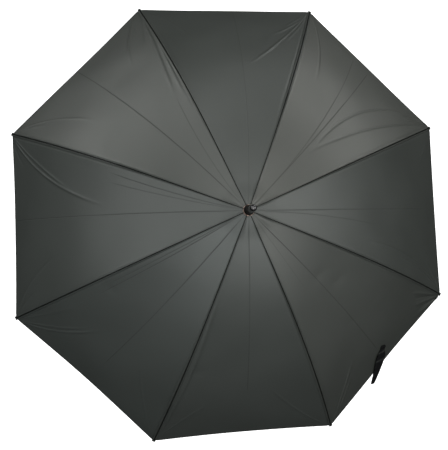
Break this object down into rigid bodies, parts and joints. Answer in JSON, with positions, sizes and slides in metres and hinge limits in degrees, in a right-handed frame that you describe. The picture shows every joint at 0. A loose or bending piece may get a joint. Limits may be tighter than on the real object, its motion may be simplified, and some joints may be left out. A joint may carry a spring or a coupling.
{
  "type": "stick umbrella",
  "caption": "Open stick umbrella with a dark fabric canopy on hinged ribs and stretchers, a sliding runner with leaf catches, a crook handle, a ferrule and a tie strap.",
  "frame": {"origin": "on the shaft's axis, in the middle of the handle's straight grip", "axes": "+Z along the shaft towards the ferrule; +X towards the free end of the crook"},
  "size_m": [0.9616, 0.9616, 0.8428],
  "materials": {
    "canopy_fabric": "dark grey-green plain weave with a slight sheen",
    "strap_fabric": "black, matt",
    "shaft_steel": "black enamel, satin",
    "rib_steel": "black lacquered sprung steel",
    "rib_fibre": "black glass fibre, satin",
    "plated_steel": "nickel plated",
    "crown_metal": "warm nickel plated",
    "black_plastic": "moulded, satin",
    "gloss_tip": "polished black",
    "handle_lacquer": "bent wood under dark gloss lacquer"
  },
  "bodies": {
    "stick": {"shaft": "shaft_steel", "handle": "handle_lacquer", "handle_end_cap": "plated_steel", "handle_collar": "plated_steel", "notch": "black_plastic", "notch_washer": "black_plastic", "notch_wire": "plated_steel", "notch_pin": "plated_steel", "stop_pin": "plated_steel", "top_spring_pin": "plated_steel", "bottom_spring_pin": "plated_steel", "crown_ring": "crown_metal", "ferrule": "black_plastic", "ferrule_tip": "gloss_tip"},
    "rib_1": {"rib_1_inner": "rib_steel", "gore_1": "canopy_fabric"},
    "rib_1_end": {"rib_1_outer": "rib_fibre", "rib_1_tip": "black_plastic"},
    "stretcher_1": {"stretcher_1": "rib_steel"},
    "rib_2": {"rib_2_inner": "rib_steel", "gore_2": "canopy_fabric"},
    "rib_2_end": {"rib_2_outer": "rib_fibre", "rib_2_tip": "black_plastic"},
    "stretcher_2": {"stretcher_2": "rib_steel"},
    "rib_3": {"rib_3_inner": "rib_steel", "gore_3": "canopy_fabric"},
    "rib_3_end": {"rib_3_outer": "rib_fibre", "rib_3_tip": "black_plastic"},
    "stretcher_3": {"stretcher_3": "rib_steel"},
    "rib_4": {"rib_4_inner": "rib_steel", "gore_4": "canopy_fabric"},
    "rib_4_end": {"rib_4_outer": "rib_fibre", "rib_4_tip": "black_plastic"},
    "stretcher_4": {"stretcher_4": "rib_steel"},
    "rib_5": {"rib_5_inner": "rib_steel", "gore_5": "canopy_fabric"},
    "rib_5_end": {"rib_5_outer": "rib_fibre", "rib_5_tip": "black_plastic"},
    "stretcher_5": {"stretcher_5": "rib_steel"},
    "rib_6": {"rib_6_inner": "rib_steel", "gore_6": "canopy_fabric"},
    "rib_6_end": {"rib_6_outer": "rib_fibre", "rib_6_tip": "black_plastic"},
    "stretcher_6": {"stretcher_6": "rib_steel"},
    "rib_7": {"rib_7_inner": "rib_steel", "gore_7": "canopy_fabric"},
    "rib_7_end": {"rib_7_outer": "rib_fibre", "rib_7_tip": "black_plastic"},
    "stretcher_7": {"stretcher_7": "rib_steel"},
    "rib_8": {"rib_8_inner": "rib_steel", "gore_8": "canopy_fabric"},
    "rib_8_end": {"rib_8_outer": "rib_fibre", "rib_8_tip": "black_plastic"},
    "stretcher_8": {"stretcher_8": "rib_steel"},
    "runner": {"runner": "black_plastic", "runner_wire": "plated_steel"},
    "top_spring": {"top_spring": "plated_steel"},
    "bottom_spring": {"bottom_spring": "plated_steel"},
    "strap": {"tie_strap": "strap_fabric", "strap_pad": "strap_fabric"}
  },
  "joints": [
    {"name": "rib_1_fold", "type": "hinge", "parent": "stick", "child": "rib_1", "pos_m": [0.01247, 0.00517, 0.66], "axis": [-0.3827, 0.9239, 0], "range_deg": [0, 75.9], "deforming": ["gore_1", "gore_2", "gore_3", "gore_4", "gore_5", "gore_6", "gore_7", "gore_8", "tie_strap", "strap_pad", "top_spring", "bottom_spring"]},
    {"name": "rib_2_fold", "type": "hinge", "parent": "stick", "child": "rib_2", "pos_m": [0.00517, 0.01247, 0.66], "axis": [-0.9239, 0.3827, 0], "range_deg": [0, 75.9]},
    {"name": "rib_3_fold", "type": "hinge", "parent": "stick", "child": "rib_3", "pos_m": [-0.00517, 0.01247, 0.66], "axis": [-0.9239, -0.3827, 0], "range_deg": [0, 75.9]},
    {"name": "rib_4_fold", "type": "hinge", "parent": "stick", "child": "rib_4", "pos_m": [-0.01247, 0.00517, 0.66], "axis": [-0.3827, -0.9239, 0], "range_deg": [0, 75.9]},
    {"name": "rib_5_fold", "type": "hinge", "parent": "stick", "child": "rib_5", "pos_m": [-0.01247, -0.00517, 0.66], "axis": [0.3827, -0.9239, 0], "range_deg": [0, 75.9]},
    {"name": "rib_6_fold", "type": "hinge", "parent": "stick", "child": "rib_6", "pos_m": [-0.00517, -0.01247, 0.66], "axis": [0.9239, -0.3827, 0], "range_deg": [0, 75.9]},
    {"name": "rib_7_fold", "type": "hinge", "parent": "stick", "child": "rib_7", "pos_m": [0.00517, -0.01247, 0.66], "axis": [0.9239, 0.3827, 0], "range_deg": [0, 75.9]},
    {"name": "rib_8_fold", "type": "hinge", "parent": "stick", "child": "rib_8", "pos_m": [0.01247, -0.00517, 0.66], "axis": [0.3827, 0.9239, 0], "range_deg": [0, 75.9]},
    {"name": "rib_1_flex", "type": "hinge", "parent": "rib_1", "child": "rib_1_end", "pos_m": [0.25882, 0.10721, 0.60517], "axis": [-0.3827, 0.9239, 0], "range_deg": [-16.5, 0]},
    {"name": "rib_2_flex", "type": "hinge", "parent": "rib_2", "child": "rib_2_end", "pos_m": [0.10721, 0.25882, 0.60517], "axis": [-0.9239, 0.3827, 0], "range_deg": [-16.5, 0]},
    {"name": "rib_3_flex", "type": "hinge", "parent": "rib_3", "child": "rib_3_end", "pos_m": [-0.10721, 0.25882, 0.60517], "axis": [-0.9239, -0.3827, 0], "range_deg": [-16.5, 0]},
    {"name": "rib_4_flex", "type": "hinge", "parent": "rib_4", "child": "rib_4_end", "pos_m": [-0.25882, 0.10721, 0.60517], "axis": [-0.3827, -0.9239, 0], "range_deg": [-16.5, 0]},
    {"name": "rib_5_flex", "type": "hinge", "parent": "rib_5", "child": "rib_5_end", "pos_m": [-0.25882, -0.10721, 0.60517], "axis": [0.3827, -0.9239, 0], "range_deg": [-16.5, 0]},
    {"name": "rib_6_flex", "type": "hinge", "parent": "rib_6", "child": "rib_6_end", "pos_m": [-0.10721, -0.25882, 0.60517], "axis": [0.9239, -0.3827, 0], "range_deg": [-16.5, 0]},
    {"name": "rib_7_flex", "type": "hinge", "parent": "rib_7", "child": "rib_7_end", "pos_m": [0.10721, -0.25882, 0.60517], "axis": [0.9239, 0.3827, 0], "range_deg": [-16.5, 0]},
    {"name": "rib_8_flex", "type": "hinge", "parent": "rib_8", "child": "rib_8_end", "pos_m": [0.25882, -0.10721, 0.60517], "axis": [0.3827, 0.9239, 0], "range_deg": [-16.5, 0]},
    {"name": "stretcher_1_pivot", "type": "hinge", "parent": "rib_1", "child": "stretcher_1", "pos_m": [0.25145, 0.10415, 0.6024], "axis": [-0.3827, 0.9239, 0], "range_deg": [-151.8, 0]},
    {"name": "stretcher_2_pivot", "type": "hinge", "parent": "rib_2", "child": "stretcher_2", "pos_m": [0.10415, 0.25145, 0.6024], "axis": [-0.9239, 0.3827, 0], "range_deg": [-151.8, 0]},
    {"name": "stretcher_3_pivot", "type": "hinge", "parent": "rib_3", "child": "stretcher_3", "pos_m": [-0.10415, 0.25145, 0.6024], "axis": [-0.9239, -0.3827, 0], "range_deg": [-151.8, 0]},
    {"name": "stretcher_4_pivot", "type": "hinge", "parent": "rib_4", "child": "stretcher_4", "pos_m": [-0.25145, 0.10415, 0.6024], "axis": [-0.3827, -0.9239, 0], "range_deg": [-151.8, 0]},
    {"name": "stretcher_5_pivot", "type": "hinge", "parent": "rib_5", "child": "stretcher_5", "pos_m": [-0.25145, -0.10415, 0.6024], "axis": [0.3827, -0.9239, 0], "range_deg": [-151.8, 0]},
    {"name": "stretcher_6_pivot", "type": "hinge", "parent": "rib_6", "child": "stretcher_6", "pos_m": [-0.10415, -0.25145, 0.6024], "axis": [0.9239, -0.3827, 0], "range_deg": [-151.8, 0]},
    {"name": "stretcher_7_pivot", "type": "hinge", "parent": "rib_7", "child": "stretcher_7", "pos_m": [0.10415, -0.25145, 0.6024], "axis": [0.9239, 0.3827, 0], "range_deg": [-151.8, 0]},
    {"name": "stretcher_8_pivot", "type": "hinge", "parent": "rib_8", "child": "stretcher_8", "pos_m": [0.25145, -0.10415, 0.6024], "axis": [0.3827, 0.9239, 0], "range_deg": [-151.8, 0]},
    {"name": "runner_pivot", "type": "hinge", "parent": "stretcher_1", "child": "runner", "pos_m": [0.01247, 0.00517, 0.54479], "axis": [-0.3827, 0.9239, 0], "range_deg": [0, 75.9]},
    {"name": "top_spring_press", "type": "hinge", "parent": "stick", "child": "top_spring", "pos_m": [0.0026, 0, 0.46449], "axis": [0, -1, 0], "range_deg": [0, 7], "stiffness_Nm_per_rad": 0.5},
    {"name": "bottom_spring_press", "type": "hinge", "parent": "stick", "child": "bottom_spring", "pos_m": [0.0026, 0, 0.12698], "axis": [0, 1, 0], "range_deg": [0, 7], "stiffness_Nm_per_rad": 0.5},
    {"name": "strap_draw", "type": "slide", "parent": "rib_7_end", "child": "strap", "axis": [-0.822, -0.5096, 0.2542], "range_m": [0, 0.1637]}
  ],
  "couplings": [
    {"joint": "rib_2_fold", "follows": "rib_1_fold", "ratio": 1},
    {"joint": "rib_3_fold", "follows": "rib_1_fold", "ratio": 1},
    {"joint": "rib_4_fold", "follows": "rib_1_fold", "ratio": 1},
    {"joint": "rib_5_fold", "follows": "rib_1_fold", "ratio": 1},
    {"joint": "rib_6_fold", "follows": "rib_1_fold", "ratio": 1},
    {"joint": "rib_7_fold", "follows": "rib_1_fold", "ratio": 1},
    {"joint": "rib_8_fold", "follows": "rib_1_fold", "ratio": 1},
    {"joint": "rib_1_flex", "follows": "rib_1_fold", "ratio": -0.21738},
    {"joint": "rib_2_flex", "follows": "rib_1_fold", "ratio": -0.21738},
    {"joint": "rib_3_flex", "follows": "rib_1_fold", "ratio": -0.21738},
    {"joint": "rib_4_flex", "follows": "rib_1_fold", "ratio": -0.21738},
    {"joint": "rib_5_flex", "follows": "rib_1_fold", "ratio": -0.21738},
    {"joint": "rib_6_flex", "follows": "rib_1_fold", "ratio": -0.21738},
    {"joint": "rib_7_flex", "follows": "rib_1_fold", "ratio": -0.21738},
    {"joint": "rib_8_flex", "follows": "rib_1_fold", "ratio": -0.21738},
    {"joint": "stretcher_1_pivot", "follows": "rib_1_fold", "ratio": -2},
    {"joint": "stretcher_2_pivot", "follows": "rib_1_fold", "ratio": -2},
    {"joint": "stretcher_3_pivot", "follows": "rib_1_fold", "ratio": -2},
    {"joint": "stretcher_4_pivot", "follows": "rib_1_fold", "ratio": -2},
    {"joint": "stretcher_5_pivot", "follows": "rib_1_fold", "ratio": -2},
    {"joint": "stretcher_6_pivot", "follows": "rib_1_fold", "ratio": -2},
    {"joint": "stretcher_7_pivot", "follows": "rib_1_fold", "ratio": -2},
    {"joint": "stretcher_8_pivot", "follows": "rib_1_fold", "ratio": -2},
    {"joint": "runner_pivot", "follows": "rib_1_fold", "ratio": 1},
    {"joint": "strap_draw", "follows": "rib_1_fold", "m_per_rad": 0.12352}
  ]
}
